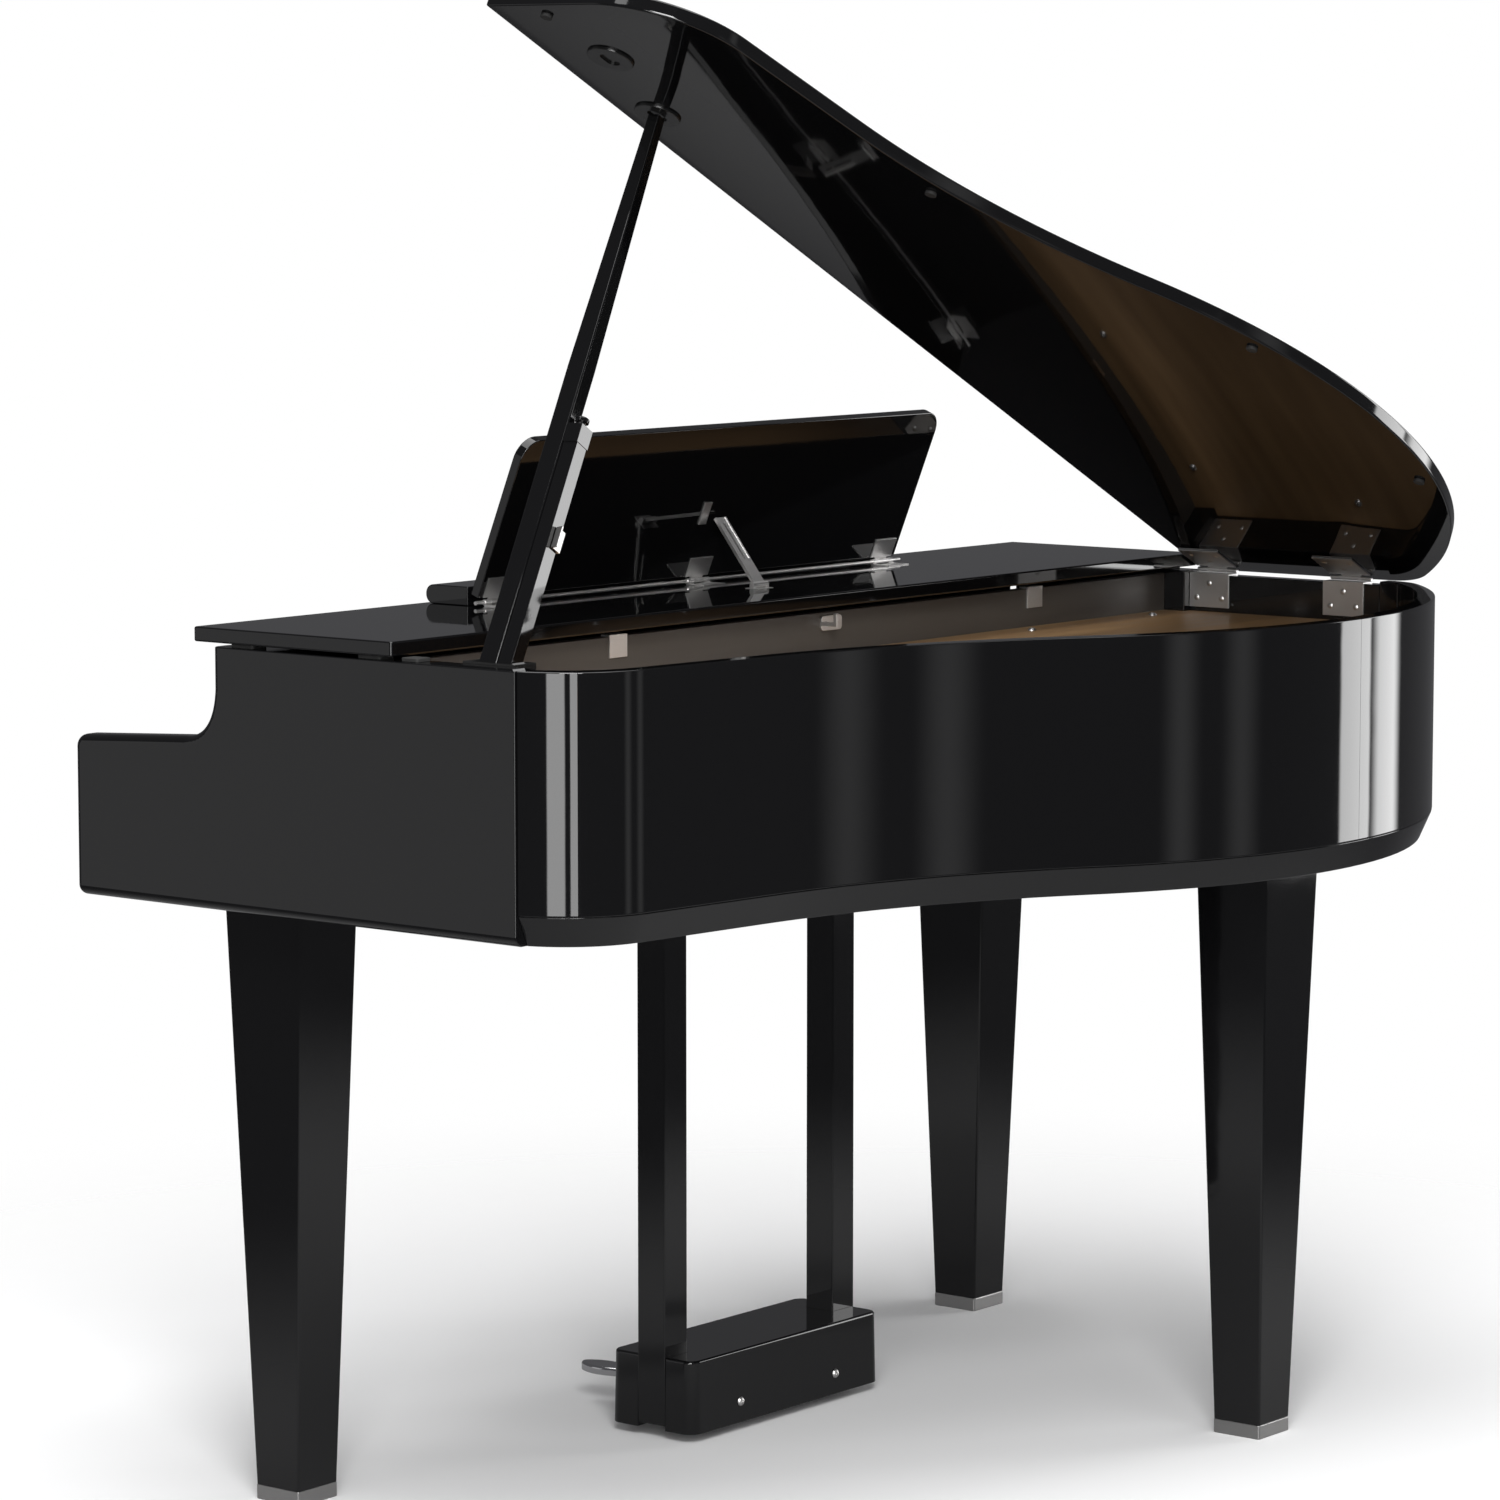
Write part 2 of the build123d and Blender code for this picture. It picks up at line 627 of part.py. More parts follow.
# ---------------------------------------------------------------- music desk
desk_up = (0, sin(radians(desk_tilt)), cos(radians(desk_tilt)))
desk_front = (0, -cos(radians(desk_tilt)), sin(radians(desk_tilt)))
desk_plane = Plane(origin=(0, *desk_axis), x_dir=(1, 0, 0), z_dir=desk_front)
desk_back_offset = 4.0
desk_thickness = 11.0
desk_corner = 24.0
with BuildPart() as music_desk:
    with BuildSketch(desk_plane.offset(desk_back_offset)):
        with BuildLine():
            low, high, side = 3.0, desk_height, desk_half_width
            Polyline((-side, high - desk_corner), (-side, low), (side, low), (side, high - desk_corner))
            RadiusArc((side, high - desk_corner), (side - desk_corner, high), -desk_corner)
            Line((side - desk_corner, high), (desk_corner - side, high))
            RadiusArc((desk_corner - side, high), (-side, high - desk_corner), -desk_corner)
        make_face()
    extrude(amount=desk_thickness)
    front_face = music_desk.faces().sort_by(Axis((0, *desk_axis), desk_front))[-1]
    fillet(front_face.edges(), 1.5)
finish_part(music_desk.part, "music_desk")

ledge_front_y, ledge_rear_y = -285.0, -227.0
with BuildPart() as music_ledge:
    box_between((-desk_half_width, desk_half_width), (ledge_front_y, ledge_rear_y), (board_top, board_top + 20))
    ledge_edges = music_ledge.edges().filter_by(Axis.X).group_by(Axis.Y)[0]
    fillet(ledge_edges, 9.5)
finish_part(music_ledge.part, "music_ledge")

desk_leaf_x = (-333.0, 0.0, 333.0)
desk_leaf_half = 19.0
desk_knuckle = 8.0
rod_radius = 2.0
desk_barrel = 3.0
strut_pin = 1.5
foot_half = 13.0


def desk_bar(x_centre, length, radius, mode=Mode.ADD):
    """Round bar along the desk's hinge line."""
    with BuildSketch(Plane.YZ.offset(x_centre - length / 2)) as disc:
        with Locations(desk_axis):
            Circle(radius)
    extrude(disc.sketch, amount=length, mode=mode)


with BuildPart() as desk_hinges:
    for x in desk_leaf_x:
        for side in (-1, 1):
            desk_bar(x + side * (desk_leaf_half - desk_knuckle / 2), desk_knuckle, desk_barrel)
        box_between((x - desk_leaf_half, x + desk_leaf_half), (desk_axis[0] + 3.6, desk_axis[0] + 24),
                    (board_top, board_top + 1.2))
        for side in (-1, 1):
            centre = x + side * (desk_leaf_half - desk_knuckle / 2)
            box_between((centre - desk_knuckle / 2, centre + desk_knuckle / 2),
                        (desk_axis[0], desk_axis[0] + 4), (board_top, board_top + 1.6))
    desk_bar(0, 2 * desk_half_width + 14, rod_radius)
    # foot of the strut: a thin plate with an eye on each side of the strut
    box_between((-foot_half, foot_half), (strut_foot[0] - 9, strut_foot[0] + 9), (board_top, board_top + 0.5))
    for side in (-1, 1):
        with BuildSketch(Plane.YZ.offset(side * 11.2 - 1.6)) as eye:
            with Locations(strut_foot):
                Circle(3.2)
            with Locations((strut_foot[0], board_top + 1.5)):
                Rectangle(6.4, 3)
        extrude(eye.sketch, amount=3.2)
    with BuildSketch(Plane.YZ.offset(-12)) as pin:
        with Locations(strut_foot):
            Circle(strut_pin)
    extrude(pin.sketch, amount=24)
finish_part(desk_hinges.part, "desk_hinges")

with BuildPart() as desk_leaves:
    for x in desk_leaf_x:
        half = desk_leaf_half - desk_knuckle - clear
        desk_bar(x, 2 * half, desk_barrel)
        with BuildSketch(desk_plane.offset(desk_back_offset)):
            with Locations((x, 15)):
                Rectangle(2 * desk_leaf_half, 22)
            with Locations((x, 3)):
                Rectangle(2 * half, 6)
        extrude(amount=-1.4)
        desk_bar(x, 2 * desk_leaf_half, rod_radius + running, Mode.SUBTRACT)
    with BuildSketch(desk_plane.offset(desk_back_offset)):
        with Locations((20, strut_tip_run)):
            Rectangle(12, 26)
    extrude(amount=-1.6)
finish_part(desk_leaves.part, "desk_leaves")

back_y = desk_axis[0] + strut_tip_run * desk_up[1] - desk_back_offset * cos(radians(desk_tilt))
back_z = desk_axis[1] + strut_tip_run * desk_up[2] + desk_back_offset * sin(radians(desk_tilt))
strut_lean = degrees(atan2(strut_foot[0] - back_y, back_z - strut_foot[1]))
strut_length = hypot(strut_foot[0] - back_y, back_z - strut_foot[1]) - 5.0
strut_normal = (0, cos(radians(strut_lean)), sin(radians(strut_lean)))
strut_plane = Plane(origin=(0, *strut_foot), x_dir=(1, 0, 0), z_dir=strut_normal)
with BuildPart() as desk_strut:
    with BuildSketch(strut_plane.offset(-1.0)):
        with Locations((0, -strut_length / 2)):
            Rectangle(18, strut_length - 6)
        with Locations((0, -strut_length + 34)):
            SlotOverall(48, 3, rotation=90, mode=Mode.SUBTRACT)
    extrude(amount=2.0)
    with BuildSketch(strut_plane.offset(-1.8)):
        with Locations((-8, -strut_length / 2), (8, -strut_length / 2)):
            Rectangle(2, strut_length - 6)
        with Locations((0, -18)):
            Rectangle(18, 30)
    extrude(amount=3.6)
    with BuildSketch(Plane.YZ.offset(-9)):
        with Locations(strut_foot):
            Circle(3.2)
    extrude(amount=18)
    with BuildSketch(Plane.YZ.offset(-9)):
        with Locations(strut_foot):
            Circle(strut_pin + running)
    extrude(amount=18, mode=Mode.SUBTRACT)
finish_part(desk_strut.part, "desk_strut")

# ---------------------------------------------------------------- legs
def leg(centre, top_x, top_y):
    """Square leg that tapers to its foot, with softened long edges."""
    with BuildPart() as tapered:
        with BuildSketch(Plane.XY.offset(case_bottom)):
            with Locations(centre):
                RectangleRounded(top_x, top_y, 2.5)
        with BuildSketch(Plane.XY.offset(cap_height)):
            with Locations(centre):
                RectangleRounded(leg_foot - 0.6, leg_foot - 0.6, 2.5)
        loft()
    return tapered.part


bass_leg = (-front_leg[0], front_leg[1])
with BuildPart() as front_legs:
    for centre in (front_leg, bass_leg):
        add(leg(centre, leg_top_small, leg_top_large))
finish_part(front_legs.part, "front_legs")
finish_part(leg(tail_leg, leg_top_large, leg_top_small), "tail_leg")

with BuildPart() as leg_caps:
    with BuildSketch():
        with Locations(front_leg, bass_leg, tail_leg):
            RectangleRounded(leg_foot, leg_foot, 2.5)
    extrude(amount=cap_height)
    fillet(leg_caps.edges().group_by(Axis.Z)[0], 1.2)
finish_part(leg_caps.part, "leg_caps")

# ---------------------------------------------------------------- lyre
post_x = post_outer - post_width / 2
post_y = post_front + post_depth / 2
with BuildPart() as lyre_posts:
    with BuildSketch(Plane.XY.offset(box_bottom + 5)):
        with Locations((-post_x, post_y), (post_x, post_y)):
            RectangleRounded(post_width, post_depth, 1.5)
    extrude(amount=case_bottom - box_bottom - 5)
finish_part(lyre_posts.part, "lyre_posts")

box_wall = 9.0
pedal_slot = 27.0
box_depth = box_rear - box_front
box_y = (box_rear + box_front) / 2
with BuildPart() as pedal_box:
    with BuildSketch(Plane.XY.offset(box_bottom)):
        with Locations((0, box_y)):
            RectangleRounded(2 * post_outer, box_depth, 15)
    extrude(amount=box_top - box_bottom, taper=1.2)
    fillet(pedal_box.edges().group_by(Axis.Z)[-1], 3)
    for side in (-1, 1):
        inner = side * (post_outer - post_width - clear)
        outer = side * (post_outer + 1)
        box_between((min(inner, outer), max(inner, outer)),
                    (post_front - clear, post_front + post_depth + clear), (box_bottom - 1, box_top + 1), Mode.SUBTRACT)
    cavity_x = post_outer - post_width - box_wall
    box_between((-cavity_x, cavity_x), (box_front + box_wall, box_rear - box_wall),
                (box_bottom - 1, box_top - box_wall), Mode.SUBTRACT)
    for x in (-pedal_pitch, 0, pedal_pitch):
        box_between((x - pedal_slot / 2, x + pedal_slot / 2), (box_front - 5, box_front + box_wall + 1),
                    (box_bottom + 8, pedal_axis[1] + 12), Mode.SUBTRACT)
    with BuildSketch(Plane.YZ.offset(-cavity_x - 4)):
        with Locations(pedal_axis):
            Circle(4)
    extrude(amount=2 * cavity_x + 8, mode=Mode.SUBTRACT)
finish_part(pedal_box.part, "pedal_box")

with BuildPart() as pedal_axle:
    with BuildSketch(Plane.YZ.offset(-cavity_x - 4)):
        with Locations(pedal_axis):
            Circle(4)
    extrude(amount=2 * cavity_x + 8)
finish_part(pedal_axle.part, "pedal_axle")


def pedal(x):
    """Pedal lever seen from the side with a rounded, widened toe."""
    toe_y, neck_y = -318.0, box_front - 6
    rear_y = pedal_axis[0] + 9
    with BuildPart() as lever:
        with BuildSketch(Plane.XY.offset(pedal_axis[1] - 9)):
            with BuildLine():
                Spline((x + 8, neck_y), (x + 11.5, (toe_y + neck_y) / 2), (x + 15, toe_y + 22),
                       (x, toe_y), (x - 15, toe_y + 22), (x - 11.5, (toe_y + neck_y) / 2), (x - 8, neck_y))
                Polyline((x - 8, neck_y), (x - 8, rear_y), (x + 8, rear_y), (x + 8, neck_y))
            make_face()
        extrude(amount=9)
        fillet(lever.edges().group_by(Axis.Z)[-1], 3)
        with BuildSketch(Plane.YZ.offset(x - 10)):
            with Locations(pedal_axis):
                Circle(9)
        extrude(amount=20)
        with BuildSketch(Plane.YZ.offset(x - 11)):
            with Locations(pedal_axis):
                Circle(4 + running)
        extrude(amount=22, mode=Mode.SUBTRACT)
    return lever.part


pedal_names = {"soft_pedal": -pedal_pitch, "sostenuto_pedal": 0.0, "damper_pedal": pedal_pitch}
for name, x in pedal_names.items():
    finish_part(pedal(x), name)

# ---------------------------------------------------------------- inside the case
with BuildPart() as speakers:
    with BuildSketch(Plane.XZ):
        with BuildLine():
            Polyline((0, rim_bottom - 16), (18, rim_bottom - 16), (52, rim_bottom - 2), (54, rim_bottom + 0.3),
                     (speaker_radius + 8, rim_bottom + 0.3), (speaker_radius + 8, rim_bottom + 4),
                     (50, rim_bottom + 7), (38, rim_bottom + 30), (38, rim_bottom + 48), (0, rim_bottom + 48),
                     close=True)
        make_face()
    revolve(axis=Axis.Z)
with BuildPart() as speaker_pair:
    with Locations(*[(x, y, 0) for x, y in speaker_places]):
        add(speakers.part)
finish_part(speaker_pair.part, "speakers")

with BuildPart() as main_board:
    box_between((-220, 60), (-195, -75), (653, 654.6))
    for x, y, wide, deep, tall in ((-160, -140, 40, 40, 4), (-90, -120, 26, 26, 3), (-20, -150, 24, 34, 3),
                                   (30, -110, 16, 60, 9), (-200, -100, 14, 30, 12)):
        box_between((x - wide / 2, x + wide / 2), (y - deep / 2, y + deep / 2), (654.6, 654.6 + tall))
    with Locations((-210, -185, 650), (50, -185, 650), (-210, -85, 650), (50, -85, 650)):
        Cylinder(3, 6)
finish_part(main_board.part, "main_board")

with BuildPart() as mains_inlet:
    box_between((inlet_x[0], inlet_x[1]), (inlet_y[0], inlet_y[1]), (case_bottom + 1, 647))
    box_between((inlet_x[0] + 6, inlet_x[1] - 6), (inlet_y[0] + 5, inlet_y[1] - 5), (case_bottom, 641), Mode.SUBTRACT)
    centre_x, centre_y = sum(inlet_x) / 2, sum(inlet_y) / 2
    for dx, dy in ((-7, -2), (0, 3), (7, -2)):
        box_between((centre_x + dx - 1, centre_x + dx + 1), (centre_y + dy - 2.5, centre_y + dy + 2.5), (629, 641))
finish_part(mains_inlet.part, "mains_inlet")
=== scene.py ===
# %% [markdown]
# # A small grand piano in black lacquer
# The precise model of the piano is already there: it was drawn in CAD, and each piece sits in its
# own node. This notebook gives those pieces their looks. It rounds sharp edges, makes smooth
# surfaces for the bent case and the lid, adds the hinge screws, and mixes a finish for each material.

# %% Load the frame
import json
import math

import bmesh
import bpy
import numpy as np
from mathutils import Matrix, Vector


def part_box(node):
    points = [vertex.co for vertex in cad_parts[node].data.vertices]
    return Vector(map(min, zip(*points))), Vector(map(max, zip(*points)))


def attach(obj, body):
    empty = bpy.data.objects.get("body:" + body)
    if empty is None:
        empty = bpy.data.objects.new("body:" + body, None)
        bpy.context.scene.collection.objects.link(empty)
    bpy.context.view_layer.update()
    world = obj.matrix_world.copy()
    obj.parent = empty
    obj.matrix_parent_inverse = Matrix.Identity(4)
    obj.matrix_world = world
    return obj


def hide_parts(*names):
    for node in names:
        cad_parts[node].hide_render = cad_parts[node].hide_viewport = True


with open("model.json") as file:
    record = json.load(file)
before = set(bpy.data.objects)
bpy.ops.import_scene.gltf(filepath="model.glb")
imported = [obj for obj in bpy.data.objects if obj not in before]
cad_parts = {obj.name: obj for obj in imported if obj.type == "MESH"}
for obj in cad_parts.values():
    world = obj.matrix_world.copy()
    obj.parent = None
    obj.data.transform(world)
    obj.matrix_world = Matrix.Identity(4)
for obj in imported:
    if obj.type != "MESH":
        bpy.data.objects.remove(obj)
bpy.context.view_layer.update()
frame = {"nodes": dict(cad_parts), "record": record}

record = frame["record"]
node_body = {node: body for body, nodes in record["behaviour"]["bodies"].items() for node in nodes}
node_slot = {part["node"]: part["material_slot"] for part in record["subparts"]}
MM = 0.001

# %% [markdown]
# ## Camera
# A piano looks right from some distance through a long lens, so that its legs stay upright. The
# camera could be turned by hand, but a direction worked out from two angles is easier to check.

# %% Camera
CAMERA_PLACE = Vector((4.5888, 3.4948, 1.4074))
CAMERA_TURN = math.radians(38.362)
CAMERA_DIP = math.radians(6.599)
view_direction = Vector((-math.cos(CAMERA_TURN) * math.cos(CAMERA_DIP),
                         -math.sin(CAMERA_TURN) * math.cos(CAMERA_DIP),
                         -math.sin(CAMERA_DIP)))
camera_data = bpy.data.cameras.new("studio_camera")
camera_data.sensor_width = 36.0
camera_data.lens = 130.53
camera_data.clip_end = 100.0
camera = bpy.data.objects.new("studio_camera", camera_data)
camera.location = CAMERA_PLACE
camera.rotation_euler = view_direction.to_track_quat("-Z", "Y").to_euler()
bpy.context.scene.collection.objects.link(camera)
bpy.context.scene.camera = camera
print("camera looks along", tuple(round(c, 3) for c in view_direction))

# %% [markdown]
# ## Node helpers
# Every finish below is a small graph of shader nodes. Two helpers keep the cells short: one makes a
# material with a Principled shader in it, the other adds a node and joins its inputs.


# %% Node helpers
def new_finish(name, colour, roughness, metallic=0.0, **sockets):
    """A material whose Principled shader has even values on its own sockets, and that shader."""
    material = bpy.data.materials.new(name)
    material.use_nodes = True
    shader = material.node_tree.nodes["Principled BSDF"]
    shader.inputs["Base Color"].default_value = (*colour, 1.0)
    shader.inputs["Roughness"].default_value = roughness
    shader.inputs["Metallic"].default_value = metallic
    for socket, value in sockets.items():
        shader.inputs[socket.replace("_", " ")].default_value = value
    return material, shader


def add_node(material, kind, **inputs):
    """Adds a shader node. Each keyword names an input socket: a tuple (node, output) joins it,
    and anything else is its value."""
    tree = material.node_tree
    node = tree.nodes.new(kind)
    for socket, value in inputs.items():
        target = node.inputs[socket.replace("_", " ")]
        if isinstance(value, tuple) and isinstance(value[0], bpy.types.Node):
            tree.links.new(value[0].outputs[value[1]], target)
        else:
            target.default_value = value
    return node


def join(material, node, output, shader, socket):
    """Joins one output to one input."""
    material.node_tree.links.new(node.outputs[output], shader.inputs[socket])


def stretched_coordinates(material, scale):
    """Object coordinates, scaled differently along each axis, so that a pattern runs with the grain."""
    place = add_node(material, "ShaderNodeTexCoord")
    return add_node(material, "ShaderNodeMapping", Vector=(place, "Object"), Scale=scale)


def speckle(material, coordinates, scale, detail=3.0):
    """Noise at a scale in patches per metre."""
    return add_node(material, "ShaderNodeTexNoise", Vector=(coordinates, "Vector"), Scale=scale,
                    Detail=detail)


def graded(material, source, output, low, high):
    """Turns a noise value into a number between low and high."""
    return add_node(material, "ShaderNodeMapRange", Value=(source, output), From_Min=0.3, From_Max=0.7,
                    To_Min=low, To_Max=high)


def two_colours(material, source, output, low, high):
    """Turns a noise value into a colour between two colours."""
    ramp = add_node(material, "ShaderNodeValToRGB", Fac=(source, output))
    ramp.color_ramp.elements[0].position = 0.3
    ramp.color_ramp.elements[0].color = (*low, 1.0)
    ramp.color_ramp.elements[1].position = 0.7
    ramp.color_ramp.elements[1].color = (*high, 1.0)
    return ramp


def bumped(material, shader, source, output, strength, distance):
    """Lets a noise value dent the surface. The distance is in metres."""
    bump = add_node(material, "ShaderNodeBump", Height=(source, output), Strength=strength, Distance=distance)
    join(material, bump, "Normal", shader, "Normal")


# %% [markdown]
# ## Black lacquer
# The case is wood board under thick polished black lacquer. It mirrors the room, but not perfectly:
# it carries a faint haze from polishing, and waves so shallow that only long highlights show them.
# A perfectly even mirror would look dead flat, so noise drives both the haze and the waves.


# %% Black lacquer
def lacquer_finish(name, haze_low, haze_high):
    """Polished black with slow waves in the surface and uneven polishing haze."""
    material, shader = new_finish(name, (0.0032, 0.0032, 0.0035), haze_low, IOR=1.52)
    place = stretched_coordinates(material, (1.0, 1.0, 1.0))
    haze = speckle(material, place, 9.0, 4.0)
    join(material, graded(material, haze, "Fac", haze_low, haze_high), "Result", shader, "Roughness")
    waves = speckle(material, place, 22.0, 1.0)
    bumped(material, shader, waves, "Fac", 0.05, 0.001)
    return material


LACQUER = lacquer_finish("black_lacquer", 0.025, 0.055)
print("finish", LACQUER.name)

# %% [markdown]
# ## Wood finishes
# Three woods show: a satin black wall inside the case, a brown veneer panel below the lid, and bare
# wood under the keys. Grain is noise drawn out along one axis, so it needs no image.


# %% Wood finishes
def wood_finish(name, light, dark, roughness, scale, fineness, **sockets):
    """Grain: fine noise drawn out along the board over slow changes of tone."""
    material, shader = new_finish(name, light, roughness, **sockets)
    place = stretched_coordinates(material, scale)
    grain = speckle(material, place, fineness, 6.0)
    join(material, two_colours(material, grain, "Fac", dark, light), "Color", shader, "Base Color")
    join(material, graded(material, grain, "Fac", roughness * 0.85, roughness * 1.15), "Result",
         shader, "Roughness")
    bumped(material, shader, grain, "Fac", 0.12, 0.0004)
    return material


SATIN_WALL = wood_finish("satin_black_wall", (0.075, 0.066, 0.056), (0.055, 0.048, 0.042), 0.38,
                         (0.5, 8.0, 8.0), 6.0)
VENEER = wood_finish("brown_veneer", (0.42, 0.25, 0.115), (0.31, 0.18, 0.082), 0.38,
                     (0.7, 9.0, 9.0), 5.0, Coat_Weight=0.3, Coat_Roughness=0.25)
BARE_WOOD = wood_finish("bare_wood", (0.52, 0.38, 0.23), (0.40, 0.28, 0.16), 0.6, (1.0, 12.0, 12.0), 6.0)
print("woods ready")

# %% [markdown]
# ## Metals
# Hinges, screws, the desk strut and the leg caps are nickel-plated steel with a fine brushed grain.
# The pedals are polished. Both are full metals, and they differ in haze and in the grain.


# %% Metals
def metal_finish(name, colour, haze_low, haze_high, scale, strength):
    """Metal with fine scratches along one axis."""
    material, shader = new_finish(name, colour, haze_low, metallic=1.0)
    place = stretched_coordinates(material, scale)
    scratches = speckle(material, place, 60.0, 5.0)
    join(material, graded(material, scratches, "Fac", haze_low, haze_high), "Result", shader, "Roughness")
    bumped(material, shader, scratches, "Fac", strength, 0.0002)
    return material


STEEL = metal_finish("satin_nickel", (0.74, 0.73, 0.72), 0.30, 0.46, (2.0, 30.0, 30.0), 0.08)
CAP_STEEL = metal_finish("brushed_cap", (0.40, 0.395, 0.39), 0.30, 0.48, (1.5, 1.5, 40.0), 0.15)
CHROME = metal_finish("polished_chrome", (0.62, 0.62, 0.63), 0.05, 0.12, (6.0, 2.0, 6.0), 0.03)
print("metals ready")

# %% [markdown]
# ## Plastics and rubber
# The white keys are glossy and slightly warm, the black keys are matt with a fine texture, and small
# fittings are moulded plastic. Fine noise stands for the texture of the mould.


# %% Plastics and rubber
def moulded_finish(name, low, high, roughness, fineness, strength, **sockets):
    """Moulded plastic: a nearly even colour with a fine texture in the surface."""
    material, shader = new_finish(name, high, roughness, **sockets)
    place = stretched_coordinates(material, (1.0, 1.0, 1.0))
    texture = speckle(material, place, fineness, 2.0)
    join(material, two_colours(material, texture, "Fac", low, high), "Color", shader, "Base Color")
    join(material, graded(material, texture, "Fac", roughness * 0.85, roughness * 1.2), "Result",
         shader, "Roughness")
    bumped(material, shader, texture, "Fac", strength, 0.0002)
    return material


WHITE_KEY = moulded_finish("ivory_white", (0.76, 0.745, 0.69), (0.80, 0.79, 0.745), 0.18, 350.0, 0.05)
BLACK_KEY = moulded_finish("matt_black_key", (0.010, 0.010, 0.010), (0.016, 0.016, 0.016), 0.42, 900.0, 0.3)
BLACK_PLASTIC = moulded_finish("black_plastic", (0.006, 0.006, 0.006), (0.010, 0.010, 0.010), 0.22,
                               700.0, 0.1)
RUBBER = moulded_finish("black_rubber", (0.012, 0.012, 0.012), (0.022, 0.022, 0.021), 0.7, 400.0, 0.3)
PAPER = moulded_finish("speaker_paper", (0.015, 0.015, 0.015), (0.035, 0.034, 0.032), 0.75, 260.0, 0.8)
CIRCUIT = moulded_finish("circuit_board", (0.01, 0.07, 0.03), (0.02, 0.11, 0.05), 0.4, 90.0, 0.3)
SLOT_FINISH = {"lacquer": LACQUER, "satin_wall": SATIN_WALL, "veneer": VENEER, "bare_wood": BARE_WOOD,
               "white_key": WHITE_KEY, "black_key": BLACK_KEY, "black_plastic": BLACK_PLASTIC,
               "rubber": RUBBER, "steel": STEEL, "chrome": CHROME, "speaker": PAPER, "circuit": CIRCUIT}
for node, piece in frame["nodes"].items():
    piece.data.materials.clear()
    piece.data.materials.append(SLOT_FINISH[node_slot[node]])
print("finishes on", len(frame["nodes"]), "nodes")

# %% [markdown]
# ## Mesh helpers
# A new surface here is a grid of points worked out by a formula as one array. These helpers number
# the corners of the grid's faces and put the arrays into a mesh. Faces that should be flat mirrors
# are shaded flat, and rounded edges are shaded smooth.


# %% Mesh helpers
def grid_faces(rows, columns, closed_rows=False, closed_columns=False):
    """Corner numbers of the quads of a grid of points, row after row, optionally joined end to end."""
    i = np.arange(rows if closed_rows else rows - 1)
    j = np.arange(columns if closed_columns else columns - 1)
    i, j = np.meshgrid(i, j, indexing="ij")
    below, right = (i + 1) % rows, (j + 1) % columns
    corners = [i * columns + j, below * columns + j, below * columns + right, i * columns + right]
    return np.stack(corners, axis=-1).reshape(-1, 4)


def add_piece(name, points, faces, finish, node=None, body=None, sharp=35.0, flat_size=0):
    """Makes a mesh of points and faces, closes its seams, turns its faces outwards and lets it ride.

    A face with more corners than flat_size is shaded flat, so a large cap stays a true mirror."""
    mesh = bpy.data.meshes.new(name)
    mesh.from_pydata(points.reshape(-1, 3).tolist(), [], [list(face) for face in faces])
    shape = bmesh.new()
    shape.from_mesh(mesh)
    bmesh.ops.remove_doubles(shape, verts=shape.verts, dist=1e-6)
    bmesh.ops.recalc_face_normals(shape, faces=shape.faces)
    shape.to_mesh(mesh)
    shape.free()
    sizes = np.zeros(len(mesh.polygons), dtype=np.int32)
    mesh.polygons.foreach_get("loop_total", sizes)
    mesh.polygons.foreach_set("use_smooth", sizes <= (flat_size or 4))
    mesh.set_sharp_from_angle(angle=math.radians(sharp))
    mesh.materials.append(finish)
    piece = bpy.data.objects.new(name, mesh)
    bpy.context.scene.collection.objects.link(piece)
    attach(piece, body or node_body[node])
    if node:
        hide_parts(node)
    return piece


def polish(node, rounding, finish=None, segments=3):
    """Stands a copy of a CAD piece in for it, with its triangles merged and its sharp edges rounded."""
    source = frame["nodes"][node]
    mesh = source.data.copy()
    shape = bmesh.new()
    shape.from_mesh(mesh)
    bmesh.ops.remove_doubles(shape, verts=shape.verts, dist=1e-6)
    bmesh.ops.dissolve_limit(shape, angle_limit=math.radians(0.5), verts=shape.verts, edges=shape.edges)
    shape.to_mesh(mesh)
    shape.free()
    mesh.polygons.foreach_set("use_smooth", np.ones(len(mesh.polygons), dtype=bool))
    mesh.set_sharp_from_angle(angle=math.radians(35))
    if finish:
        mesh.materials.clear()
        mesh.materials.append(finish)
    piece = bpy.data.objects.new(node + "_finished", mesh)
    bpy.context.scene.collection.objects.link(piece)
    if rounding:
        edge = piece.modifiers.new("rounded_edges", "BEVEL")
        edge.width = rounding * MM
        edge.segments = segments
        edge.limit_method = "ANGLE"
        edge.angle_limit = math.radians(40)
        edge.use_clamp_overlap = True
    weight = piece.modifiers.new("even_shading", "WEIGHTED_NORMAL")
    weight.keep_sharp = True
    weight.weight = 100
    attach(piece, node_body[node])
    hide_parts(node)
    return piece


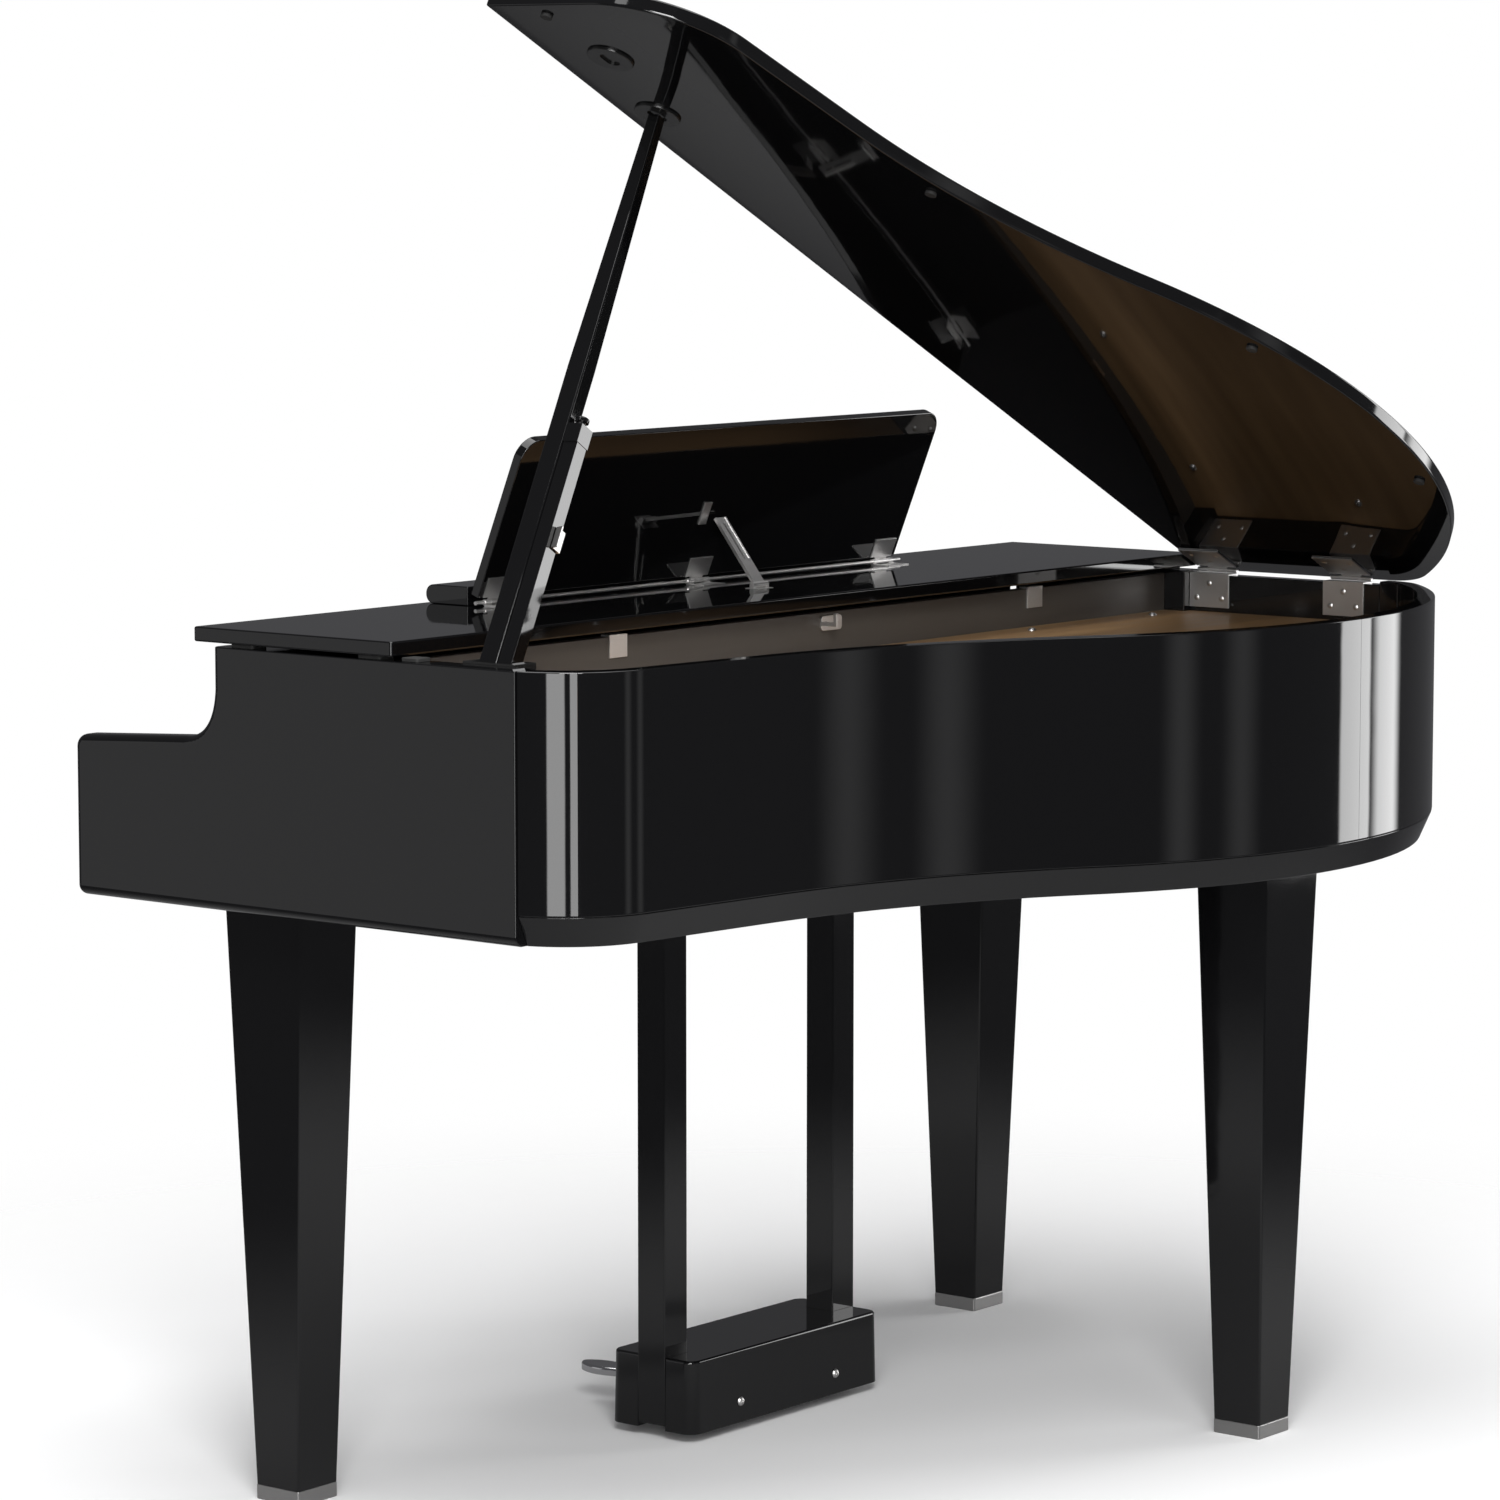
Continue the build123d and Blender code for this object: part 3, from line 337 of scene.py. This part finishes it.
def rounded_profile(corners, radius, steps=5, support=0.5):
    """A closed outline with its corners turned into arcs.

    Each corner becomes an arc of the given radius that touches both sides. One more point, a little
    before and after the arc, keeps the shading of the flat side even."""
    corners = np.asarray(corners, dtype=float)
    back = np.roll(corners, 1, axis=0) - corners
    ahead = np.roll(corners, -1, axis=0) - corners
    back /= np.linalg.norm(back, axis=1)[:, None]
    ahead /= np.linalg.norm(ahead, axis=1)[:, None]
    half = np.arccos(np.clip((back * ahead).sum(1), -1, 1)) / 2
    run = radius / np.tan(half)
    middle = (back + ahead) / np.linalg.norm(back + ahead, axis=1)[:, None]
    centre = corners + middle * (radius / np.sin(half))[:, None]
    start = corners + back * run[:, None] - centre
    end = corners + ahead * run[:, None] - centre
    t = np.linspace(0, 1, steps)[None, :, None]
    arc = start[:, None] * (1 - t) + end[:, None] * t
    arc *= radius / np.linalg.norm(arc, axis=2)[:, :, None]
    arc += centre[:, None]
    before = (corners + back * (run + support)[:, None])[:, None]
    after = (corners + ahead * (run + support)[:, None])[:, None]
    return np.concatenate([before, arc, after], axis=1).reshape(-1, 2)


square = rounded_profile([(0, 0), (9, 0), (9, 9), (0, 9)], 1)
print("a square with rounded corners has", len(square), "points")

# %% [markdown]
# ## The line of the case
# Seen from above, the case is a chain of arcs: a tight corner at the treble side, a long hollow
# waist, the round tail and the bass corner. One function gives a point and a heading for any
# distance along the chain, so every bent piece can follow the same line.

# %% The line of the case
CORNER_START = (700.0, 105.0)
CORNER_RADIUS, CORNER_TURN = 110.0, 83.6
STRAIGHT_RUN = 175.0
WAIST_RADIUS, WAIST_TURN = 798.5, 27.6
TAIL_RADIUS, TAIL_TURN = 587.0, 80.0
LAST_TURN = 180.0 - CORNER_TURN + WAIST_TURN - TAIL_TURN


def case_line(inset=0.0):
    """Points and headings of the case line, moved inwards.

    Along each arc the heading grows evenly, and the point is the arc's centre plus the radius at right
    angles to the heading. A straight run adds its length along one heading."""
    turns = [(CORNER_RADIUS - inset, CORNER_TURN), (0, 0), (WAIST_RADIUS + inset, -WAIST_TURN),
             (TAIL_RADIUS - inset, TAIL_TURN), (None, LAST_TURN)]
    point = np.array([CORNER_START[0] - inset, CORNER_START[1]])
    heading = math.radians(90.0)
    points, headings = [point[None]], [np.array([heading])]
    for radius, turn in turns:
        if turn == 0:
            step = np.linspace(0, STRAIGHT_RUN, 12)[1:, None]
            points.append(point + step * np.array([math.cos(heading), math.sin(heading)]))
            headings.append(np.full(len(step), heading))
        else:
            if radius is None:
                radius = (point[0] + CORNER_START[0] - inset) / (1 - math.cos(math.radians(turn)))
            side = math.copysign(1.0, turn)
            h = heading + np.linspace(0, math.radians(turn), 60)[1:]
            centre = point + side * radius * np.array([-math.sin(heading), math.cos(heading)])
            points.append(centre - side * radius * np.stack([-np.sin(h), np.cos(h)], axis=1))
            headings.append(h)
        point, heading = points[-1][-1], headings[-1][-1]
    return np.concatenate(points), np.concatenate(headings)


line_points, line_headings = case_line()
line_runs = np.concatenate([[0], np.cumsum(np.linalg.norm(np.diff(line_points, axis=0), axis=1))])
print("the tail ends at", line_points[:, 1].max().round(1), "mm")
print("the line is", line_runs[-1].round(0), "mm long")

# %% [markdown]
# ## Bent rim
# The rim is board, bent or milled to the line and lacquered, in three panels with fine joints
# between them. A bevelled block would mirror badly, so each panel is one profile, a tall rectangle
# with rounded edges, carried along the line.


# %% Bent rim
def rim_panel(name, run_low, run_high, low_z, high_z, thickness, rounding):
    """Carries a rounded rectangle along the case line between two distances and closes both ends.

    A point is the line's point, minus the outward direction times the profile's depth, at the
    profile's height."""
    profile = rounded_profile([(0, low_z), (0, high_z), (thickness, high_z), (thickness, low_z)], rounding)
    inside = line_runs[(line_runs > run_low + 1) & (line_runs < run_high - 1)]
    runs = np.concatenate([[run_low], inside, [run_high]])
    x, y = np.interp(runs, line_runs, line_points[:, 0]), np.interp(runs, line_runs, line_points[:, 1])
    h = np.interp(runs, line_runs, line_headings)
    points = np.empty((len(runs), len(profile), 3))
    points[..., 0] = x[:, None] - np.sin(h)[:, None] * profile[None, :, 0]
    points[..., 1] = y[:, None] + np.cos(h)[:, None] * profile[None, :, 0]
    points[..., 2] = profile[None, :, 1]
    faces = grid_faces(len(runs), len(profile), closed_columns=True).tolist()
    last = (len(runs) - 1) * len(profile)
    faces.append(list(range(len(profile))))
    faces.append([last + k for k in range(len(profile))])
    return add_piece(name + "_bent", points * MM, faces, LACQUER, node=name)


cheek_back_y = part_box("treble_cheek")[1].y / MM
corner_low, corner_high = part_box("corner_rim")
bent_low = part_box("bentside_rim")[0]
rim_low_z, rim_high_z = corner_low.z / MM, corner_high.z / MM
first_run = np.interp(cheek_back_y + 0.5, line_points[:20, 1], line_runs[:20])
corner_seam_run = np.interp(-corner_low.x / MM, -line_points[:60, 0], line_runs[:60])
tail_seam_run = np.interp(-bent_low.x / MM, -line_points[:, 0], line_runs)
RIM = dict(low_z=rim_low_z, high_z=rim_high_z, thickness=20.0, rounding=1.5)
rim_panel("corner_rim", first_run, corner_seam_run, **RIM)
rim_panel("bentside_rim", corner_seam_run + 0.5, tail_seam_run, **RIM)
rim_panel("tail_rim", tail_seam_run + 0.5, line_runs[-1] - 0.01, **RIM)
print("seams at", round(float(corner_seam_run)), "and", round(float(tail_seam_run)), "mm along the line")

# %% [markdown]
# ## Lid
# The lid is a single board with the outline of the case and softly rounded edges. It is worked out
# lying flat, as rings of points that step in around the rounded edge, and then turned about the hinge pin
# to where it rests on the long prop.

# %% Lid
lid_joint = next(joint for joint in record["behaviour"]["joints"] if joint["name"] == "lid_hinge")
hinge_place = np.array(lid_joint["pos_m"]) / MM
LID_ANGLE = math.radians(26.5)
LID_LOW, LID_HIGH = 892.0, 907.0
LID_INSET, LID_FRONT_Y = -8.0, -22.5


def opened(points):
    """Turns points about the hinge pins: x and z turn by the lid's angle, y stays."""
    x, z = points[..., 0] - hinge_place[0], points[..., 2] - hinge_place[2]
    turned = points.copy()
    turned[..., 0] = hinge_place[0] + x * math.cos(LID_ANGLE) - z * math.sin(LID_ANGLE)
    turned[..., 2] = hinge_place[2] + x * math.sin(LID_ANGLE) + z * math.cos(LID_ANGLE)
    return turned


def lid_ring(inset, z):
    """The lid's outline at one height: the case line, moved in, closed by a straight front edge."""
    line, _ = case_line(LID_INSET + inset)
    side = CORNER_START[0] - LID_INSET - inset
    front = LID_FRONT_Y + inset
    across = np.linspace(-side, side, 40)
    left = np.stack([np.full(12, -side), np.linspace(line[-1, 1], front, 13)[1:]], axis=1)
    bottom = np.stack([across[1:], np.full(39, front)], axis=1)
    right = np.stack([np.full(7, side), np.linspace(front, line[0, 1], 9)[1:-1]], axis=1)
    ring = np.concatenate([line, left, bottom, right])
    return np.concatenate([ring, np.full((len(ring), 1), z)], axis=1)


edge = np.radians(np.linspace(0, 90, 6))
LID_ROUND = 2.0
steps_in = [(LID_ROUND * (1 - np.sin(a)), LID_LOW + LID_ROUND * (1 - np.cos(a))) for a in edge]
steps_out = [(LID_ROUND * (1 - np.cos(a)), LID_HIGH - LID_ROUND * (1 - np.sin(a))) for a in edge]
SUPPORT = 3.0
upright = [(0, LID_LOW + SUPPORT), (0, LID_HIGH - SUPPORT)]
rings = np.stack([lid_ring(inset, z) for inset, z in steps_in + upright + steps_out])
lid_faces = grid_faces(rings.shape[0], rings.shape[1], closed_columns=True).tolist()
lid_faces.append(list(range(rings.shape[1])))
lid_faces.append([(rings.shape[0] - 1) * rings.shape[1] + k for k in range(rings.shape[1])])
add_piece("main_lid_board", opened(rings) * MM, lid_faces, LACQUER, node="main_lid")
print("lid rings", rings.shape[0], "points around", rings.shape[1])

# %% [markdown]
# ## Edges of the flat pieces
# Lacquered boards never end in a knife edge: the spray needs a small radius, and that radius is what
# catches the light. The CAD pieces are right in shape, so a merged copy with a Bevel modifier is enough.

# %% Edges of the flat pieces
ROUNDING = {"treble_cheek": 1.2, "bass_cheek": 1.2, "spine_rim": 1.2, "bottom_board": 0.8, "keybed": 1.0,
            "inner_wall": 0.8, "sound_panel": 0.5, "front_board": 0.0, "key_slip": 1.0, "key_blocks": 0.8,
            "fascia": 0.8, "key_cover": 0.8, "music_ledge": 1.0, "music_desk": 0.8, "front_legs": 0.8,
            "tail_leg": 0.8, "lyre_posts": 0.5, "pedal_box": 0.6, "long_prop": 0.0, "short_prop": 0.8,
            "prop_base": 0.6, "display_panel": 0.4, "power_button": 0.0, "board_spacers": 0.5}
for node, rounding in ROUNDING.items():
    polish(node, rounding)
FINE_ROUNDING = {"spine_leaves": 0.25, "lid_leaves": 0.25, "desk_hinges": 0.15, "desk_leaves": 0.2,
                 "desk_strut": 0.2, "prop_clip": 0.25, "wall_brackets": 0.2, "case_screws": 0.1,
                 "prop_cups": 0.3, "lid_bumpers": 0.6, "pedal_axle": 0.3, "mains_inlet": 0.3}
for node, rounding in FINE_ROUNDING.items():
    polish(node, rounding, segments=2)
polish("leg_caps", 0.8, finish=CAP_STEEL)
key_nodes = [node for node in frame["nodes"] if node.endswith("_keys")]
for node in key_nodes:
    polish(node, 0.6, segments=2)
print("rounded", len(ROUNDING) + len(FINE_ROUNDING) + 1 + len(key_nodes), "pieces")

# %% [markdown]
# ## Hinge screws
# Each leaf of a lid hinge is held by three round-headed screws, one high and two low. A head is part
# of a sphere: its height falls with the square of the distance from its middle.


# %% Hinge screws
HEAD_RADIUS, HEAD_HEIGHT = 3.6, 1.3
HEAD_SINK = 0.1
HEAD_RINGS, HEAD_SIDES = 5, 24


def screw_heads(name, centres, outward, node):
    """Domes at the centres, raised along outward. The rim sinks a little into the plate below."""
    outward = np.asarray(outward, dtype=float)
    first = np.cross(outward, (0.0, 1.0, 0.0))
    first /= np.linalg.norm(first)
    second = np.cross(outward, first)
    share, turn = np.meshgrid(np.linspace(0, 1, HEAD_RINGS + 1)[1:],
                              np.linspace(0, 2 * math.pi, HEAD_SIDES + 1)[:-1], indexing="ij")
    flat = (share * np.cos(turn))[..., None] * first + (share * np.sin(turn))[..., None] * second
    dome = HEAD_RADIUS * flat + (HEAD_HEIGHT * (1 - share ** 2) - HEAD_SINK)[..., None] * outward
    head = np.concatenate([dome.reshape(-1, 3), [(HEAD_HEIGHT - HEAD_SINK) * outward]])
    ring = np.arange(HEAD_SIDES)
    cone = np.stack([ring, np.roll(ring, -1), np.full(HEAD_SIDES, len(head) - 1)], axis=1)
    faces = []
    for start in range(0, len(centres) * len(head), len(head)):
        faces += (grid_faces(HEAD_RINGS, HEAD_SIDES, closed_columns=True) + start).tolist()
        faces += (cone + start).tolist()
        faces.append((ring + (HEAD_RINGS - 1) * HEAD_SIDES + start).tolist())
    points = np.asarray(centres)[:, None] + head[None]
    return add_piece(name, points * MM, faces, STEEL, body=node_body[node])


PLATE_FACE_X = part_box("spine_leaves")[1].x / MM
HINGE_CENTRES_Y = (5.5, 188.0)
SPINE_TOP = 884.0
LEAF_THICKNESS = 1.5
PATTERN = ((0.0, 10.0), (-17.0, 27.0), (17.0, 27.0))
LID_PATTERN_START = 10.0
spine_screws = [(PLATE_FACE_X, y + along, SPINE_TOP - down)
                for y in HINGE_CENTRES_Y for along, down in PATTERN]
screw_heads("spine_leaf_screws", spine_screws, (1, 0, 0), "spine_leaves")
flat_screws = np.array([(hinge_place[0] + LID_PATTERN_START + down, y + along, LID_LOW - LEAF_THICKNESS)
                        for y in HINGE_CENTRES_Y for along, down in PATTERN])
lid_down = opened(hinge_place + np.array([0.0, 0.0, -1.0])) - hinge_place
screw_heads("lid_leaf_screws", opened(flat_screws), lid_down, "lid_leaves")
print("hinge screws", len(spine_screws) + len(flat_screws))

# %% [markdown]
# ## Floor
# The floor is a plain pale disc that fades out towards its rim, so it has no visible edge. Polished
# legs would mirror it as a grey haze, so mirrors see only a part of it.

# %% Floor
FLOOR_RADIUS = 6.0
FLOOR_SIDES = 96
FADE_START, FADE_END = 0.8, 2.0
SHARE_IN_MIRRORS = 0.35
angles = np.linspace(0, 2 * math.pi, FLOOR_SIDES + 1)[:-1]
disc = FLOOR_RADIUS * np.stack([np.cos(angles), np.sin(angles), np.zeros(FLOOR_SIDES)], axis=1)
floor_mesh = bpy.data.meshes.new("studio_floor")
floor_mesh.from_pydata(disc.tolist(), [], [list(range(FLOOR_SIDES))])
floor_finish, floor_shader = new_finish("pale_floor", (0.95, 0.95, 0.95), 0.9)
floor_place = add_node(floor_finish, "ShaderNodeTexCoord")
distance = add_node(floor_finish, "ShaderNodeVectorMath", Vector=(floor_place, "Object"))
distance.operation = "LENGTH"
fade = add_node(floor_finish, "ShaderNodeMapRange", Value=(distance, "Value"), From_Min=FADE_START,
                From_Max=FADE_END, To_Min=1.0, To_Max=0.0)
fade.interpolation_type = "SMOOTHSTEP"
ray = add_node(floor_finish, "ShaderNodeLightPath")
dimmed = add_node(floor_finish, "ShaderNodeMapRange", Value=(ray, "Is Glossy Ray"), To_Min=1.0,
                  To_Max=SHARE_IN_MIRRORS)
shown = add_node(floor_finish, "ShaderNodeMath")
shown.operation = "MULTIPLY"
join(floor_finish, fade, "Result", shown, 0)
join(floor_finish, dimmed, "Result", shown, 1)
join(floor_finish, shown, "Value", floor_shader, "Alpha")
floor_mesh.materials.append(floor_finish)
floor = bpy.data.objects.new("studio_floor", floor_mesh)
bpy.context.scene.collection.objects.link(floor)
print("floor radius", FLOOR_RADIUS)

# %% [markdown]
# ## Light panels
# Polished black shows little but what it mirrors, so the place of a panel matters more than its
# power. Tall narrow panels draw the upright streaks on the bent case. One panel high on the treble
# side lights the wood inside, and no upright side mirrors it.


# %% Light panels
def soften(light, edge):
    """Fades both upright edges: the strength rises smoothly over the given share of the width."""
    light.use_nodes = True
    tree = light.node_tree
    place = tree.nodes.new("ShaderNodeNewGeometry")
    across = tree.nodes.new("ShaderNodeSeparateXYZ")
    mirrored = tree.nodes.new("ShaderNodeMath")
    mirrored.operation = "PINGPONG"
    mirrored.inputs[1].default_value = 0.5
    fade = tree.nodes.new("ShaderNodeMapRange")
    fade.interpolation_type = "SMOOTHSTEP"
    fade.inputs["From Max"].default_value = edge
    tree.links.new(place.outputs["Parametric"], across.inputs["Vector"])
    tree.links.new(across.outputs["X"], mirrored.inputs[0])
    tree.links.new(mirrored.outputs["Value"], fade.inputs["Value"])
    tree.links.new(fade.outputs["Result"], tree.nodes["Emission"].inputs["Strength"])


def light_panel(name, place, target, width, height, radiance, edge=0.0):
    """A panel of light that faces the target. Its power is radiance times area times pi."""
    data = bpy.data.lights.new(name, "AREA")
    data.shape = "RECTANGLE"
    data.size, data.size_y = width, height
    data.energy = radiance * width * height * math.pi
    light = bpy.data.objects.new(name, data)
    light.location = place
    light.rotation_euler = (Vector(target) - Vector(place)).to_track_quat("-Z", "Y").to_euler()
    light.visible_camera = False
    if edge:
        soften(data, edge)
    bpy.context.scene.collection.objects.link(light)
    return light


STRIP_DISTANCE = 6.0
STRIP_HEIGHT, STRIP_MIDDLE = 3.2, 1.3


def upright_strip(name, azimuth, width, radiance, edge=0.1):
    """A tall panel at an azimuth from +X, turned to the case, as a polished side mirrors it."""
    angle = math.radians(azimuth)
    place = (STRIP_DISTANCE * math.cos(angle), STRIP_DISTANCE * math.sin(angle), STRIP_MIDDLE)
    return light_panel(name, place, (0, 0, STRIP_MIDDLE), width, STRIP_HEIGHT, radiance, edge)


light_panel("ceiling_panel", (0.3, 0.2, 4.5), (0, 0, 0.8), 4.5, 4.5, 3.4)
light_panel("inner_panel", (3.2, 2.6, 3.3), (-0.1, 0.1, 0.8), 1.6, 1.6, 18.0)
upright_strip("treble_panel", -41.0, 4.2, 0.42, edge=0.2)
upright_strip("corner_wide", 26.0, 1.9, 6.0)
upright_strip("corner_narrow", 43.0, 0.9, 6.0)
upright_strip("soft_streak_near", 97.0, 1.2, 0.4, edge=0.5)
upright_strip("soft_streak_far", 112.0, 1.3, 0.35, edge=0.5)
upright_strip("tail_strip", 147.0, 1.3, 6.0, edge=0.1)
upright_strip("tail_seam_strip", 160.0, 1.6, 5.0, edge=0.3)
print("lights", len(bpy.data.lights))

# %% [markdown]
# ## Room
# The room is dim, which keeps most of the case dark. Only the camera sees it white, so the piano
# stands in front of a plain background.

# %% Room
world = bpy.data.worlds.new("studio_room")
world.use_nodes = True
bpy.context.scene.world = world
room = world.node_tree
background = room.nodes["Background"]
background.inputs["Color"].default_value = (0.10, 0.10, 0.105, 1.0)
seen = room.nodes.new("ShaderNodeBackground")
seen.inputs["Color"].default_value = (1.0, 1.0, 1.0, 1.0)
ray = room.nodes.new("ShaderNodeLightPath")
pick = room.nodes.new("ShaderNodeMixShader")
room.links.new(ray.outputs["Is Camera Ray"], pick.inputs["Fac"])
room.links.new(background.outputs["Background"], pick.inputs[1])
room.links.new(seen.outputs["Background"], pick.inputs[2])
room.links.new(pick.outputs["Shader"], room.nodes["World Output"].inputs["Surface"])
bpy.context.scene.view_settings.view_transform = "Standard"
print("room ready")
